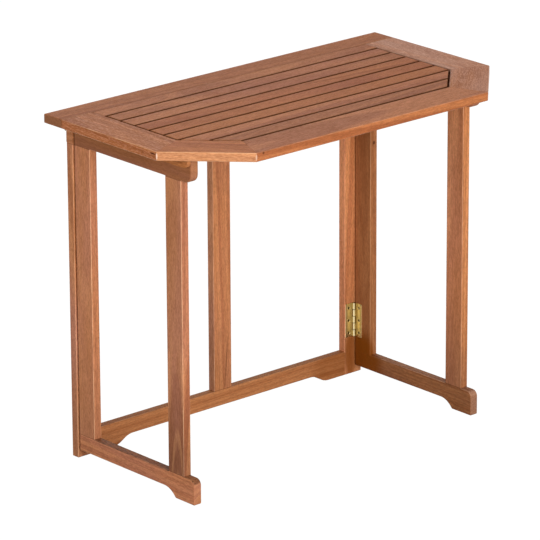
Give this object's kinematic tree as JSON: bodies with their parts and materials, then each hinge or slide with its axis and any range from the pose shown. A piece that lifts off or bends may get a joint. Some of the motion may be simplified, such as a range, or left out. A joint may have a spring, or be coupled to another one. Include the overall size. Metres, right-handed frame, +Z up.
{
  "type": "folding console table",
  "caption": "Half-octagon slatted wooden console table: a leaf hinged to a fixed rear board is carried by gate legs that swing in flat against the rear frame.",
  "frame": {"origin": "centre of the bounding box of the open table, on the floor", "axes": "+X along the table's length, to the right seen from the front; +Y from the front edge towards the wall side; +Z up"},
  "size_m": [0.9, 0.487, 0.744],
  "materials": {
    "top_wood": "oiled reddish-brown hardwood, satin",
    "frame_wood": "oiled reddish-brown hardwood, satin",
    "batten_wood": "oiled paler hardwood, satin",
    "dowel_wood": "bare beech",
    "brass": "brass plate, polished on the knuckles",
    "screw_steel": "zinc plated"
  },
  "bodies": {
    "rear_frame": {"board_hinge_leaves": "brass", "board_hinge_screws": "brass", "leaf_hinge_pins": "brass", "left_gate_hinge_pins": "brass", "left_post_hinge_leaves": "brass", "left_post_hinge_screws": "brass", "rear_board": "top_wood", "rear_board_screws": "screw_steel", "rear_bottom_rail": "frame_wood", "rear_frame_dowels": "dowel_wood", "rear_left_post": "frame_wood", "rear_middle_post": "frame_wood", "rear_right_post": "frame_wood", "rear_top_rail": "frame_wood", "right_gate_hinge_pins": "brass", "right_post_hinge_leaves": "brass", "right_post_hinge_screws": "brass"},
    "left_gate": {"left_gate_bottom_rail": "frame_wood", "left_gate_dowels": "dowel_wood", "left_gate_hinge_leaves": "brass", "left_gate_hinge_screws": "brass", "left_gate_inner_stile": "frame_wood", "left_gate_outer_stile": "frame_wood", "left_gate_top_rail": "frame_wood"},
    "right_gate": {"right_gate_bottom_rail": "frame_wood", "right_gate_dowels": "dowel_wood", "right_gate_hinge_leaves": "brass", "right_gate_hinge_screws": "brass", "right_gate_inner_stile": "frame_wood", "right_gate_outer_stile": "frame_wood", "right_gate_top_rail": "frame_wood"},
    "drop_leaf": {"leaf_batten_screws": "screw_steel", "leaf_centre_batten": "batten_wood", "leaf_dowels": "dowel_wood", "leaf_front_rail": "top_wood", "leaf_hinge_leaves": "brass", "leaf_hinge_screws": "brass", "leaf_left_corner_rail": "top_wood", "leaf_left_side_rail": "top_wood", "leaf_left_stop_batten": "batten_wood", "leaf_rear_rail": "top_wood", "leaf_right_corner_rail": "top_wood", "leaf_right_side_rail": "top_wood", "leaf_right_stop_batten": "batten_wood", "slat_1": "top_wood", "slat_2": "top_wood", "slat_3": "top_wood", "slat_4": "top_wood", "slat_5": "top_wood", "slat_6": "top_wood", "slat_7": "top_wood"}
  },
  "joints": [
    {"name": "right_gate_swing", "type": "hinge", "parent": "rear_frame", "child": "right_gate", "pos_m": [0.3697, 0.2202, 0.363], "axis": [0, 0, -1], "range_deg": [0, 90]},
    {"name": "left_gate_swing", "type": "hinge", "parent": "rear_frame", "child": "left_gate", "pos_m": [-0.3697, 0.2202, 0.363], "axis": [0, 0, 1], "range_deg": [0, 90]},
    {"name": "leaf_lift", "type": "hinge", "parent": "rear_frame", "child": "drop_leaf", "pos_m": [0, 0.18625, 0.7222], "axis": [-1, 0, 0], "range_deg": [0, 3]}
  ]
}
